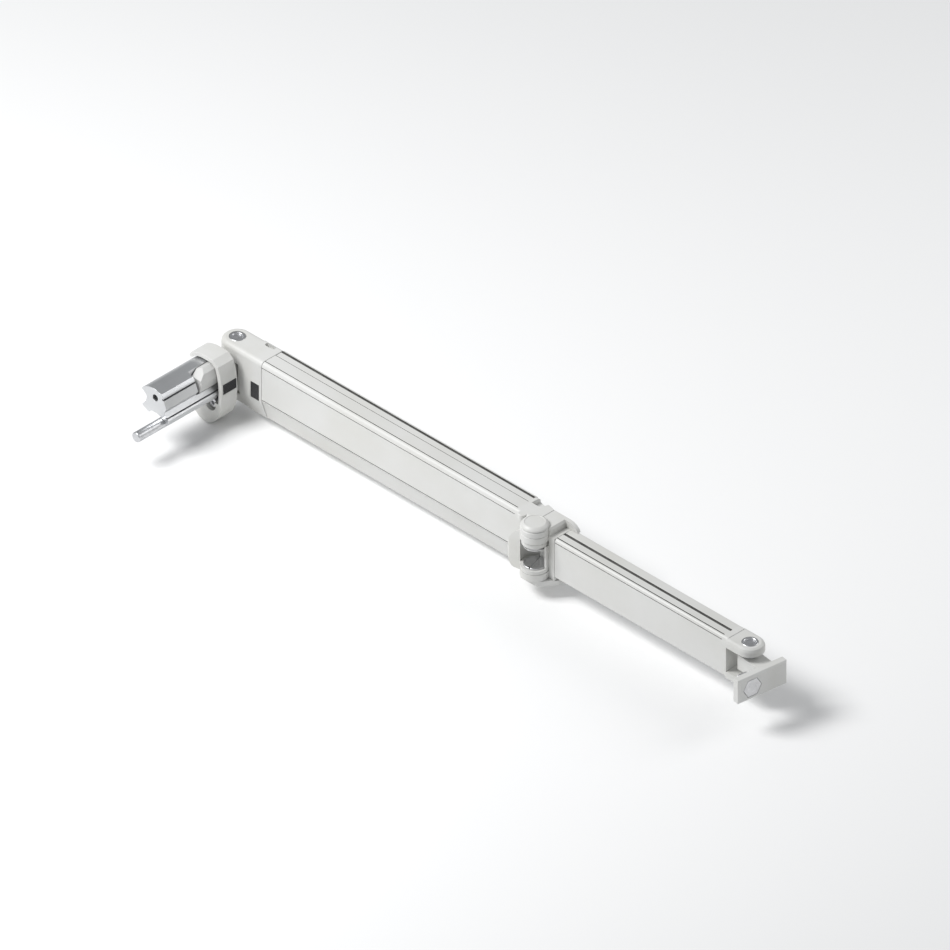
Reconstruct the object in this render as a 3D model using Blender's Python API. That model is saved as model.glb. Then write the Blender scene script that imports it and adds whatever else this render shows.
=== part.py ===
"""A spring-loaded two-link folding arm on a clamp bracket, for Blender 4.5.

The world origin is the middle of the mounting bar's flat end. +X runs along the open arm, +Y runs from that
end along the bar and +Z is up. Each group of pieces hangs on an empty that stands on its joint's axis, level
with the underside of the upper arm. Outlines are in millimetres, and MM turns them into metres.
"""

import math

import bpy
import bmesh
from mathutils import Vector

MM = 0.001
GAP = 0.3

# Joint axes, from the shoulder pin
SHOULDER = (0.0, 114.0, -42.0)
ELBOW = (433.0, -21.0, 0.0)
FRONT = (280.4, 17.8, 0.0)
FRONT_TURN = -7.4

# Upper arm section, seen along the arm
UPPER_HALF = 16.0
UPPER_TALL = 69.0
SLANT_TOP = 22.3
FOOT_HALF = 8.0
UPPER_EDGE = 5.0
UPPER_WALL = 2.2
UPPER_START = 49.4
UPPER_END = 400.0

# Forearm section, from the elbow pin
FORE_FRONT = 5.0
FORE_BACK = 31.0
FORE_LOW = 14.2
FORE_HIGH = 60.5
FORE_EDGE = 3.7
FORE_WALL = 2.0
FORE_START = 22.3
FORE_END = 254.1

# Shoulder
LUG = 16.0
LOWER_LUG_TOP = 13.0
UPPER_LUG_FOOT = 51.0
EYE = 13.3
PIN = 5.6
BUSH = 7.1
CAP_START = 24.2

# Bracket
HOLE_HEIGHT = 51.7
BAR_END = -114.0
BAR_INNER_END = -30.6
COLLAR_NEAR = -46.0
COLLAR_FAR = -24.0
ROD = 5.5
ROD_AT = (8.3, 25.8)
NOTCH_START = -70.0
LOBE_HOLE = (8.3, 0, 14.5)
WEDGE_HOLE = (8.6, 0, 54.7)
SCREW_HOLE = 2.9

# Elbow
ELBOW_LUG = 14.8
ELBOW_PIN = 5.0
BUTT = -4.4
PULLEY = 9.4
CABLE = 1.0
CABLE_AT = 10.5
CABLE_HEIGHT = 47.4
CABLE_CHANNEL = 1.9
UPPER_PLATE = (49.5, 53.6)
HORN = (12.5, 59.0)
LUG_FOOT = 54.6
EYE_PLATE = (18.8, 22.8)

# Front end
FRONT_LUG = 15.0
FRONT_PIN = 5.0
TONGUE_HALF = 9.6
TONGUE_BACK = 12.4
TONGUE = (28.4, 45.4)
PLATE_NEAR = 27.6
PLATE_FAR = 36.5
PLATE_SIDES = (-41.9, 18.5)
PLATE_LOW = 22.8
PLATE_HIGH = 50.4
HEX = 10.97
BOLT_HOLE = 5.3
BOLT_AT = (0, -25.0, 36.6)

FINISHES = {
    "coated_aluminium": ((0.80, 0.80, 0.78), 0.45, 0.0),
    "cast_aluminium": ((0.78, 0.78, 0.77), 0.5, 0.0),
    "bare_aluminium": ((0.70, 0.71, 0.72), 0.35, 1.0),
    "steel": ((0.55, 0.56, 0.58), 0.3, 1.0),
    "spring_steel": ((0.25, 0.25, 0.26), 0.4, 1.0),
    "black_plastic": ((0.03, 0.03, 0.03), 0.6, 0.0),
}


# Scene and shape tools

def clear_scene():
    for old in list(bpy.data.objects):
        bpy.data.objects.remove(old, do_unlink=True)


def axis_empty(name, at, parent=None, turn=0.0):
    """An empty on a joint's axis. Its children are drawn around it."""
    frame = bpy.data.objects.new(name, None)
    frame.location = Vector(at) * MM
    frame.rotation_euler = (0.0, 0.0, math.radians(turn))
    frame.parent = parent
    bpy.context.collection.objects.link(frame)
    return frame


def finish_material(name, finish):
    colour, roughness, metallic = FINISHES[finish]
    material = bpy.data.materials.new(name + "_finish")
    material.use_nodes = True
    shader = material.node_tree.nodes["Principled BSDF"]
    shader.inputs["Base Color"].default_value = (*colour, 1.0)
    shader.inputs["Roughness"].default_value = roughness
    shader.inputs["Metallic"].default_value = metallic
    return material


def arc(centre, radius, start, end, steps):
    """Points on a circle from one angle to another, in degrees."""
    points = []
    for step in range(steps + 1):
        angle = math.radians(start + (end - start) * step / steps)
        points.append((centre[0] + radius * math.cos(angle), centre[1] + radius * math.sin(angle)))
    return points


def rounded_box(low, high, radius, steps=4):
    """A rectangle with round corners."""
    corners = (
        ((high[0] - radius, high[1] - radius), 0),
        ((low[0] + radius, high[1] - radius), 90),
        ((low[0] + radius, low[1] + radius), 180),
        ((high[0] - radius, low[1] + radius), 270),
    )
    points = []
    for centre, start in corners:
        points.extend(arc(centre, radius, start, start + 90, steps))
    return points


def close_mesh(bm):
    bmesh.ops.recalc_face_normals(bm, faces=bm.faces)
    mesh = bpy.data.meshes.new("shape")
    bm.to_mesh(mesh)
    bm.free()
    mesh.shade_smooth()
    mesh.set_sharp_from_angle(angle=math.radians(32))
    return mesh


def prism(outline, axis, low, high):
    """An outline across the axis, extruded along it from low to high."""
    spots = {
        "X": lambda point, along: (along, point[0], point[1]),
        "Y": lambda point, along: (point[0], along, point[1]),
        "Z": lambda point, along: (point[0], point[1], along),
    }
    spot = spots[axis]
    bm = bmesh.new()
    near = [bm.verts.new(Vector(spot(point, low)) * MM) for point in outline]
    far = [bm.verts.new(Vector(spot(point, high)) * MM) for point in outline]
    bm.faces.new(near)
    bm.faces.new(list(reversed(far)))
    for index in range(len(outline)):
        following = (index + 1) % len(outline)
        bm.faces.new((near[index], near[following], far[following], far[index]))
    return close_mesh(bm)


def box(low, high):
    corners = ((low[0], low[1]), (high[0], low[1]), (high[0], high[1]), (low[0], high[1]))
    return prism(corners, "Z", low[2], high[2])


def turned(profile, steps=24, axis="Z"):
    """A solid turned about an axis. The profile's points are (radius, place along the axis)."""
    solid = profile[0][0] == 0
    if solid:
        profile = profile[1:-1]
    bm = bmesh.new()
    rings = []
    for radius, along in profile:
        ring_verts = []
        for step in range(steps):
            angle = 2 * math.pi * step / steps
            across = (radius * math.cos(angle), radius * math.sin(angle))
            point = {
                "X": (along, across[0], across[1]),
                "Y": (across[0], along, across[1]),
                "Z": (across[0], across[1], along),
            }[axis]
            ring_verts.append(bm.verts.new(Vector(point) * MM))
        rings.append(ring_verts)
    if solid:
        bm.faces.new(rings[0])
        bm.faces.new(list(reversed(rings[-1])))
    else:
        rings.append(rings[0])
    bridge(bm, rings)
    return close_mesh(bm)


def bridge(bm, rings):
    """Side faces between rings with the same number of points."""
    for lower, upper in zip(rings, rings[1:]):
        for step in range(len(lower)):
            after = (step + 1) % len(lower)
            bm.faces.new((lower[step], lower[after], upper[after], upper[step]))


def lug_block(profile, reach, steps=16):
    """A lug round the Z axis with a straight block behind it. The profile's points are (half width, height)."""
    side = 1 if reach > 0 else -1
    bm = bmesh.new()
    rings = []
    for half, height in profile:
        plan = [(reach, half)]
        plan += [(-side * x, y) for x, y in arc((0, 0), half, 90, -90, steps)]
        plan.append((reach, -half))
        rings.append([bm.verts.new(Vector((x, y, height)) * MM) for x, y in plan])
    bm.faces.new(rings[0])
    bm.faces.new(list(reversed(rings[-1])))
    bridge(bm, rings)
    return close_mesh(bm)


def rod(radius, low, high, axis="Z", chamfer=0.0, steps=24):
    """A round bar with chamfered ends."""
    profile = [(0, low), (radius - chamfer, low), (radius, low + chamfer)]
    profile += [(radius, high - chamfer), (radius - chamfer, high), (0, high)]
    if chamfer == 0.0:
        profile = [(0, low), (radius, low), (radius, high), (0, high)]
    return turned(profile, steps, axis)


def ring(inner, outer, low, high, axis="Z", steps=20):
    return turned([(inner, low), (outer, low), (outer, high), (inner, high)], steps, axis)


def stepped_bore(radius, low, wide, step, high):
    """A cutter for a pin's bore and the recess for its head."""
    return turned([(0, low), (radius, low), (radius, step), (wide, step), (wide, high), (0, high)])


def swept_wire(points, radius, sides):
    """A round wire along a list of points, with flat ends."""
    bm = bmesh.new()
    rings = []
    for index, point in enumerate(points):
        before = Vector(points[max(index - 1, 0)])
        after = Vector(points[min(index + 1, len(points) - 1)])
        along = (after - before).normalized()
        side = along.cross(Vector((0, 0, 1)))
        if side.length < 0.1:
            side = along.cross(Vector((0, 1, 0)))
        side.normalize()
        rise = side.cross(along)
        ring_verts = []
        for step in range(sides):
            angle = 2 * math.pi * step / sides
            offset = (side * math.cos(angle) + rise * math.sin(angle)) * radius
            ring_verts.append(bm.verts.new((Vector(point) + offset) * MM))
        rings.append(ring_verts)
    bm.faces.new(rings[0])
    bm.faces.new(list(reversed(rings[-1])))
    bridge(bm, rings)
    return close_mesh(bm)


def piece(name, mesh, frame, finish, at=(0, 0, 0)):
    """One solid of the object, with its own finish."""
    solid = bpy.data.objects.new(name, mesh)
    mesh.name = name
    mesh.materials.append(finish_material(name, finish))
    solid.location = Vector(at) * MM
    solid.parent = frame
    bpy.context.collection.objects.link(solid)
    return solid


def combine(solid, kind, tools):
    """Joins shapes to a solid, or cuts them from it. Each tool is a mesh, or a mesh and its place."""
    for tool in tools:
        mesh, at = tool if isinstance(tool, tuple) else (tool, (0, 0, 0))
        shape = bpy.data.objects.new(solid.name + "_tool", mesh)
        shape.location = Vector(at) * MM + solid.location
        shape.parent = solid.parent
        shape.hide_render = True
        shape.display_type = "WIRE"
        bpy.context.collection.objects.link(shape)
        step = solid.modifiers.new(kind.lower(), "BOOLEAN")
        step.operation = kind
        step.solver = "EXACT"
        step.object = shape


def join(solid, *tools):
    combine(solid, "UNION", tools)


def cut(solid, *tools):
    combine(solid, "DIFFERENCE", tools)


# Sections and outlines

def upper_section(grow=0.0):
    """The upper arm's plain outside: round top edges, and a foot that slants in."""
    half = UPPER_HALF + grow
    top = UPPER_TALL + grow
    inner = half - UPPER_EDGE
    points = [(-FOOT_HALF - grow, -grow), (FOOT_HALF + grow, -grow), (half, SLANT_TOP)]
    points += arc((inner, top - UPPER_EDGE), UPPER_EDGE, 0, 90, 5)
    points += arc((-inner, top - UPPER_EDGE), UPPER_EDGE, 90, 180, 5)
    points.append((-half, SLANT_TOP))
    return points


def upper_tube_section():
    """The extrusion, with a bead above each slant, a step on the top and a groove near the back."""
    bead = 0.8
    step_at, groove_from, groove_to = 3.0, 11.0, 13.4
    step_down, groove_down = 0.5, 1.4
    half, top = UPPER_HALF, UPPER_TALL
    points = [(-FOOT_HALF, 0), (FOOT_HALF, 0), (half - bead, SLANT_TOP), (half, SLANT_TOP + bead)]
    points += arc((half - 2.0, top - 2.0), 2.0, 0, 90, 3)
    points += [(groove_to, top), (groove_to, top - groove_down), (groove_from, top - groove_down)]
    points += [(groove_from, top - step_down), (step_at, top - step_down), (step_at, top)]
    points += arc((-half + UPPER_EDGE, top - UPPER_EDGE), UPPER_EDGE, 90, 180, 5)
    points += [(-half, SLANT_TOP + bead), (-half + bead, SLANT_TOP)]
    return points


def upper_bore_section(inset):
    """The hollow of the upper tube, or a plug for it with a larger inset."""
    half = UPPER_HALF - inset
    top = UPPER_TALL - inset - 0.6
    corner = 3.0
    foot = FOOT_HALF - 0.6 * inset
    points = [(-foot, inset), (foot, inset), (half, SLANT_TOP + 1.0)]
    points += arc((half - corner, top - corner), corner, 0, 90, 3)
    points += arc((-half + corner, top - corner), corner, 90, 180, 3)
    points.append((-half, SLANT_TOP + 1.0))
    return points


def fore_section(grow=0.0, shift=0.0):
    """The forearm's plain outside, as (y, z)."""
    low = (FORE_FRONT - grow - shift, FORE_LOW - grow)
    high = (FORE_BACK + grow - shift, FORE_HIGH + grow)
    return rounded_box(low, high, FORE_EDGE, 4)


def fore_tube_section():
    """The forearm extrusion, with a groove along its top."""
    groove_from, groove_to, groove_down = 17.0, 20.0, 1.2
    points = arc((FORE_BACK - 2, FORE_HIGH - 2), 2.0, 0, 90, 3)
    points += [(groove_to, FORE_HIGH), (groove_to, FORE_HIGH - groove_down)]
    points += [(groove_from, FORE_HIGH - groove_down), (groove_from, FORE_HIGH)]
    points += arc((FORE_FRONT + FORE_EDGE, FORE_HIGH - FORE_EDGE), FORE_EDGE, 90, 180, 5)
    points += arc((FORE_FRONT + 2, FORE_LOW + 2), 2.0, 180, 270, 3)
    points += arc((FORE_BACK - 2, FORE_LOW + 2), 2.0, 270, 360, 3)
    return points


def bar_section():
    """The mounting bar's extrusion, as (x, z)."""
    offsets = [(-18.6, 3.6), (-14.0, 7.2), (-9.6, 9.2), (-4.6, 10.2), (0.6, 10.0), (8.0, 7.7)]
    offsets += [(10.6, 4.7), (15.4, -6.8), (12.4, -12.1), (15.4, -16.0), (18.4, -19.2)]
    offsets += [(16.7, -25.6), (13.4, -22.1), (10.2, -20.1), (6.8, -18.6), (0.6, -17.5), (-5.6, -17.8)]
    offsets += [(-9.2, -21.4), (-18.6, -16.2), (-13.1, -9.7), (-11.8, -4.3), (-13.1, -1.7), (-18.6, 2.5)]
    return [(x, z + HOLE_HEIGHT) for x, z in reversed(offsets)]


def collar_inside(inset=0.0):
    """The collar's clear inside, from the free end over the top and down to the lobe."""
    offsets = [(-17.0, 6.6), (-12.0, 10.9), (-5.0, 12.5), (2.6, 12.6), (9.3, 12.2), (14.5, 8.8)]
    offsets += [(17.0, 1.0), (18.9, -9.0), (19.4, -18.0), (19.2, -32.5)]
    return [(x - inset * (1 if x > 0 else -1), z - inset * (1 if z > 0 else -1) + HOLE_HEIGHT)
            for x, z in offsets]


def collar_section():
    """The collar: an open hook above and a solid lobe below."""
    outside = [(-20.9, 8.0), (-18.0, 12.6), (-13.3, 14.8), (-5.3, 16.7), (2.6, 17.0), (11.3, 16.7)]
    outside += [(18.6, 11.2), (21.8, 1.4), (23.5, -9.2), (24.0, -18.1), (23.4, -28.6), (22.3, -39.1)]
    outside += [(18.8, -48.7), (13.1, -56.0), (6.6, -60.4), (0.4, -61.4), (-7.1, -59.6)]
    outside += [(-13.3, -55.0), (-16.4, -46.0), (-15.0, -37.5), (-10.0, -33.4)]
    outside = [(x, z + HOLE_HEIGHT) for x, z in outside]
    inside = list(reversed(collar_inside()))
    return outside + inside + [(-19.6, 5.9 + HOLE_HEIGHT)]


def housing_outline():
    """The elbow housing's guide lobe, seen from above, from the elbow pin."""
    return [(-32.4, 5.4), (-32.2, -3.0), (-30.6, -7.0), (-27.5, -9.0), (-24.0, -8.7), (-16.0, -7.3)]


# Bracket

def build_bar(frame):
    bar = piece("mounting_bar", prism(bar_section(), "Y", BAR_END, BAR_INNER_END), frame, "bare_aluminium")
    bore, bore_deep = 3.7, 24.0
    cut(bar, (rod(bore, BAR_END - 1, BAR_END + bore_deep, "Y", steps=20), (0, 0, HOLE_HEIGHT)))
    notch_low, notch_high = HOLE_HEIGHT - 12.6, HOLE_HEIGHT + 12.0
    cut(bar, box((1.4, NOTCH_START, notch_low), (20, BAR_INNER_END + 1, notch_high)))


def build_rod(frame):
    at = (ROD_AT[0], 0, ROD_AT[1])
    piece("pitch_rod", rod(ROD, -149.5, -24.6, "Y", chamfer=0.8), frame, "steel", at)


def build_collar(frame):
    """The C-shaped collar, its inlay pad, and the screw in the half-round socket of its lobe."""
    collar = piece("shoulder_collar", prism(collar_section(), "Y", COLLAR_NEAR, COLLAR_FAR), frame,
                   "cast_aluminium")
    recess_low, recess_high = 31.5, 43.1
    socket, socket_floor = 7.0, -37.0
    cut(collar, box((22.6, -43.6, recess_low), (26, -25.4, recess_high)))
    cut(collar, (rod(socket, COLLAR_NEAR - 1, socket_floor, "Y"), LOBE_HOLE))
    cut(collar, (rod(SCREW_HOLE, socket_floor - 1, COLLAR_FAR + 1, "Y", steps=16), LOBE_HOLE))
    inlay_low, inlay_high = recess_low + GAP, recess_high - GAP
    piece("collar_inlay", box((22.9, -43.3, inlay_low), (24.2, -25.7, inlay_high)), frame, "black_plastic")
    head, seat, shank = 5.2, socket_floor - GAP, 2.6
    profile = [(0, -42.5), (head, -42.5), (head, seat), (shank, seat), (shank, -24.4), (0, -24.4)]
    screw = piece("lobe_screw", turned(profile, 24, "Y"), frame, "steel", LOBE_HOLE)
    cut(screw, prism(arc((0, 0), 2.6, 0, 300, 5), "Y", -43, -39.8))


def build_wedge(frame):
    offsets = [(2.0, -11.6), (2.0, 9.2), (7.8, 11.4), (13.4, 7.8), (16.2, -0.6), (13.4, -11.6)]
    outline = [(x, z + HOLE_HEIGHT) for x, z in offsets]
    wedge = piece("clamp_wedge", prism(outline, "Y", -66.0, BAR_INNER_END), frame, "cast_aluminium")
    slope = [(-67, HOLE_HEIGHT + 2), (-67, HOLE_HEIGHT + 13), (-55, HOLE_HEIGHT + 13)]
    cut(wedge, prism(slope, "X", 0, 20))
    cut(wedge, (rod(SCREW_HOLE, -48, -30, "Y", steps=16), WEDGE_HOLE))
    shank, head = 2.5, 4.4
    profile = [(0, -46.5), (shank, -46.5), (shank, -23.0), (head, -23.0), (head, -19.0), (0, -19.0)]
    piece("wedge_screw", turned(profile, 20, "Y"), frame, "steel", WEDGE_HOLE)


def build_yoke(frame):
    """The shoulder's fixed half: a plug that fills the collar, a neck and an eye round the shoulder pin."""
    lowest = HOLE_HEIGHT - 32.0
    plug = [(x, max(z, lowest)) for x, z in reversed(collar_inside(0.5))]
    plug += [(-15.6, HOLE_HEIGHT + 4.0), (-10.0, lowest)]
    yoke = piece("shoulder_yoke", prism(plug, "Y", -30.2, -23.5), frame, "cast_aluminium")
    cut(yoke, (rod(SCREW_HOLE, -31, -22, "Y", steps=16), WEDGE_HOLE))
    cut(yoke, (rod(ROD + GAP, -31, -22, "Y", steps=24), (ROD_AT[0], 0, ROD_AT[1])))
    eye_low, eye_high, neck_half = 15.0, 49.0, 11.5
    join(yoke, box((-neck_half, COLLAR_FAR + GAP, eye_low), (neck_half, 0, eye_high)))
    join(yoke, rod(EYE, eye_low, eye_high))
    cut(yoke, rod(BUSH + GAP, eye_low - 1, eye_high + 1))


def build_bushes(frame):
    """Two flanged bushes in the yoke's eye."""
    inner, flange = PIN + GAP, 12.4
    lower = [(inner, 13.3), (flange, 13.3), (flange, 14.7), (BUSH, 14.7), (BUSH, 30.0), (inner, 30.0)]
    upper = [(inner, 34.0), (BUSH, 34.0), (BUSH, 49.3), (flange, 49.3), (flange, 50.7), (inner, 50.7)]
    piece("shoulder_bush_lower", turned(lower), frame, "black_plastic")
    piece("shoulder_bush_upper", turned(upper), frame, "black_plastic")


# Upper arm

def build_shoulder_fork(frame):
    lug = [(FOOT_HALF, 0), (LUG, SLANT_TOP), (LUG, UPPER_TALL - UPPER_EDGE)]
    lug += arc((LUG - UPPER_EDGE, UPPER_TALL - UPPER_EDGE), UPPER_EDGE, 18, 90, 4)
    fork = piece("shoulder_fork", lug_block(lug, CAP_START + 1.0, 20), frame, "cast_aluminium")
    join(fork, prism(upper_section(0.4), "X", CAP_START, UPPER_START - GAP))
    join(fork, prism(upper_bore_section(UPPER_WALL + GAP), "X", UPPER_START - 1.0, 82.0))
    cut(fork, box((-18, -18, LOWER_LUG_TOP), (16.6, 18, UPPER_LUG_FOOT)))
    cut(fork, box((34.3, -17, 22.1), (46.0, -15.6, 40.7)))
    cut(fork, (prism(rounded_box((-6.5, -2.4), (6.5, 2.4), 2.3), "Z", 64.5, 71), (35.5, 10.2, 0)))
    cut(fork, (rod(3.0, 5, 20, "Y", steps=16), (66, 0, 32)))
    cut(fork, (rod(3.0, 5, 20, "Y", steps=16), (66, 0, 52)))
    cut(fork, stepped_bore(PIN + GAP, -1, 8.7, 65.9, 70))
    piece("fork_inlay", box((34.6, -16.8, 22.4), (45.7, -15.9, 40.4)), frame, "black_plastic")


def build_shoulder_pin(frame):
    profile = [(0, -4.0), (PIN - 0.6, -4.0), (PIN, -3.4), (PIN, -2.6), (4.6, -2.6), (4.6, -1.0), (PIN, -1.0)]
    profile += [(PIN, 66.2), (8.3, 66.2), (8.3, 68.6), (8.0, 69.0), (5.6, 69.0), (5.2, 68.3), (0, 68.3)]
    piece("shoulder_pin", turned(profile, 32), frame, "steel")
    clip = piece("shoulder_pin_clip", ring(4.9, 7.6, -2.3, -1.3), frame, "spring_steel")
    cut(clip, box((-9, -2.0, -4), (0, 2.0, 0)))


def build_upper_tube(frame):
    tube = piece("upper_tube", prism(upper_tube_section(), "X", UPPER_START, UPPER_END), frame,
                 "coated_aluminium")
    cut(tube, prism(upper_bore_section(UPPER_WALL), "X", UPPER_START - 1, UPPER_END + 1))
    for place, height in ((66, 32), (66, 52), (383, 32), (383, 56), (102, 35)):
        cut(tube, (rod(3.0, 12, 18, "Y", steps=16), (place, 0, height)))


def build_upper_screws(frame):
    """Button-head screws through the tube's back into the castings and the anchor."""
    places = {"shoulder": (66, (32, 52)), "elbow": (383, (32, 56)), "anchor": (102, (35,))}
    for where, (along, heights) in places.items():
        for number, height in enumerate(heights):
            profile = [(0, 5.6), (2.6, 5.6), (2.6, 16.3), (4.6, 16.3), (4.2, 17.6), (2.6, 18.3), (0, 18.3)]
            screw = piece(f"{where}_screw_{number + 1}", turned(profile, 12, "Y"), frame, "steel",
                          (along, 0, height))
            cut(screw, prism(arc((0, 0), 1.6, 0, 300, 5), "Y", 17.0, 19))


def build_spring(frame):
    """The balance spring lies between its anchor and the carriage, which the cable draws to the elbow."""
    anchor = piece("spring_anchor", prism(rounded_box((-9.5, 26.5), (9.5, 46.5), 2.0), "X", 94, 108), frame,
                   "steel")
    cut(anchor, (rod(3.0, 5, 11, "Y", steps=16), (102, 0, 35)))
    turns, coil, start, end = 11, 8.4, 114.0, 226.0
    steps = turns * 10
    points = []
    for step in range(steps + 1):
        angle = 2 * math.pi * turns * step / steps
        along = start + (end - start) * step / steps
        points.append((along, coil * math.cos(angle), 36.5 + coil * math.sin(angle)))
    piece("main_spring", swept_wire(points, 1.6, 5), frame, "spring_steel")


def build_elbow_housing(frame):
    """The upper arm's elbow casting: a cap on the tube, a guide lobe and two plates round the elbow pin."""
    x0, y0 = ELBOW[0], ELBOW[1]
    section = [(y - y0, z) for y, z in upper_section(0.4)]
    plug = [(y - y0, z) for y, z in upper_bore_section(UPPER_WALL + GAP)]
    cap = prism(section, "X", UPPER_END + GAP - x0, BUTT - GAP)
    housing = piece("elbow_housing", cap, frame, "cast_aluminium", (x0, y0, 0))
    join(housing, prism(plug, "X", 364 - x0, UPPER_END + 1 - x0))
    lobe = housing_outline()
    root = [(-5.5, 12.0), (-5.5, 18.0), (-30.0, 18.0)]
    top_rim = arc((0, 0), 13.4, 212, 442, 24)
    eye_rim = arc((0, 0), 14.4, 210, 442, 24)
    web = [(-12.2, -6.6), (-10.0, 8.0)]
    join(housing, prism(lobe + top_rim + root, "Z", *UPPER_PLATE))
    join(housing, prism(lobe + eye_rim + root, "Z", *EYE_PLATE))
    join(housing, prism(lobe + web + root, "Z", *HORN))
    join(housing, (rod(4.8, 57.0, 69.2, chamfer=0.5, steps=24), (-23.0, 6.3, 0)))
    taper = [(UPPER_END - x0, 38.0), (BUTT + 1, 31.2), (BUTT + 1, 42.0), (UPPER_END - x0, 42.0)]
    cut(housing, prism(taper, "Z", -2, 72))
    clearance = ELBOW_LUG + 0.6
    cut(housing, rod(clearance, LUG_FOOT - 1.0, 71))
    cut(housing, rod(clearance, -2, EYE_PLATE[0]))
    cut(housing, rod(clearance, EYE_PLATE[1], UPPER_PLATE[0]))
    cut(housing, rod(ELBOW_PIN + 1.4, EYE_PLATE[0] - 1, EYE_PLATE[1] + 1))
    cut(housing, rod(ELBOW_PIN + 1.4, UPPER_PLATE[0] - 1, UPPER_PLATE[1] + 1))
    cut(housing, (rod(CABLE_CHANNEL, 360 - x0, -3, "X", steps=12), (0, CABLE_AT, CABLE_HEIGHT)))
    hook_pocket = [(-29.0, 24.6), (-18.0, 24.6), (-14.6, 33.0), (-14.6, 40), (-29.0, 40)]
    cut(housing, prism(hook_pocket, "Z", 63.6, 71))
    low_edge = [(-40, 11), (-19, 11), (-24, 13.5), (-28, 18), (-30.5, 24), (-31.8, 30), (-40, 30)]
    cut(housing, prism(low_edge, "Y", -12, 4.6))
    high_edge = [(-14, 60), (-19, 56.4), (-23.4, 51.5), (-27.5, 45.5), (-30.5, 39), (-31.9, 34)]
    high_edge += [(-40, 34), (-40, 62), (-14, 62)]
    cut(housing, prism(high_edge, "Y", -12, 4.6))
    for height in (32, 56):
        cut(housing, (rod(3.0, 26, 38, "Y", steps=16), (383 - x0, 0, height)))


def build_pulley(frame):
    at = (ELBOW[0], ELBOW[1], 0)
    groove = [(ELBOW_PIN + 0.4, 45.4), (11.6, 45.4), (11.6, 46.0), (PULLEY, 46.2), (PULLEY, 48.6)]
    groove += [(11.6, 48.8), (11.6, 49.2), (ELBOW_PIN + 0.4, 49.2)]
    piece("cable_pulley", turned(groove, 32), frame, "bare_aluminium", at)
    for name, low, high in (("lower", *EYE_PLATE), ("upper", *UPPER_PLATE)):
        bush = ring(ELBOW_PIN + 0.3, ELBOW_PIN + 1.1, low + 0.1, high - 0.1)
        piece("elbow_bush_" + name, bush, frame, "black_plastic", at)


# Spring carriage

def build_carriage(frame):
    """A hook block that the spring pulls, and the straight cable from it to the elbow."""
    block = piece("spring_carriage", prism(rounded_box((-12.5, 26.5), (9.5, 51.0), 2.0), "X", 232, 250), frame,
                  "steel")
    cable_y = ELBOW[1] + CABLE_AT
    cut(block, (rod(1.6, 240, 251, "X", steps=12), (0, cable_y, CABLE_HEIGHT)))
    piece("arm_cable", rod(CABLE, 240.4, 397, "X", steps=10), frame, "steel", (0, cable_y, CABLE_HEIGHT))
    piece("cable_ferrule", ring(CABLE + 0.3, 2.6, 250.5, 258, "X", 16), frame, "steel",
          (0, cable_y, CABLE_HEIGHT))


# Forearm

def build_elbow_fork(frame):
    """The forearm's elbow casting: two lugs, a butt block, a front wall and a plug for the tube."""
    low = 10.8
    block = [(BUTT, 4.9), (FORE_START - GAP, 4.9), (FORE_START - GAP, 31.4), (BUTT, 31.7)]
    fork = piece("elbow_fork", prism(block, "Z", low, 60.6), frame, "cast_aluminium")
    crown = [(BUTT, 60.0), (15.6, 60.0), (15.6, 66.6), (13.8, UPPER_TALL), (BUTT, UPPER_TALL)]
    join(fork, prism(crown, "Y", 5.4, 31.7))
    heel = [(10.0, 60.9), (31.6, 60.9), (30.0, 63.9), (27.0, 66.5), (22.6, 68.4), (17.0, UPPER_TALL)]
    heel.append((10.0, UPPER_TALL))
    join(fork, prism(heel, "Y", 27.6, 31.7))
    neck = 62.5
    rim = [(0, LUG_FOOT), (ELBOW_LUG - 0.5, LUG_FOOT), (ELBOW_LUG, LUG_FOOT + 0.6), (ELBOW_LUG, neck - 0.5)]
    rim += [(ELBOW_LUG - 0.6, neck), (ELBOW_LUG, neck + 0.5), (ELBOW_LUG, 68.2)]
    rim += [(ELBOW_LUG - 0.8, 69.0), (0, 69.0)]
    join(fork, turned(rim, 32))
    join(fork, rod(ELBOW_LUG, low, EYE_PLATE[0] - GAP, steps=32))
    wall = arc((0, 0), ELBOW_LUG, 4, 40, 6) + list(reversed(arc((0, 0), 12.2, 4, 40, 6)))
    join(fork, prism(wall, "Z", low + 1, 49.2))
    plug = rounded_box((FORE_FRONT + 2.3, FORE_LOW + 2.3), (FORE_BACK - 2.3, FORE_HIGH - 3.6), 2.0)
    join(fork, prism(plug, "X", FORE_START - 1, 46))
    plate_room = ELBOW_LUG + GAP
    ferrule_bore = 3.2
    cut(fork, rod(plate_room, EYE_PLATE[0] - GAP, EYE_PLATE[1] + GAP))
    cut(fork, rod(12.2, EYE_PLATE[1], 49.2))
    cut(fork, rod(plate_room, 49.2, LUG_FOOT))
    cut(fork, rod(ELBOW_PIN + GAP, low - 1, 70))
    cut(fork, (rod(CABLE_CHANNEL, -6, 18, "X", steps=12), (0, CABLE_AT, CABLE_HEIGHT)))
    cut(fork, (rod(ferrule_bore, 10.5, 18, "X", steps=16), (0, CABLE_AT, CABLE_HEIGHT)))


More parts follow.
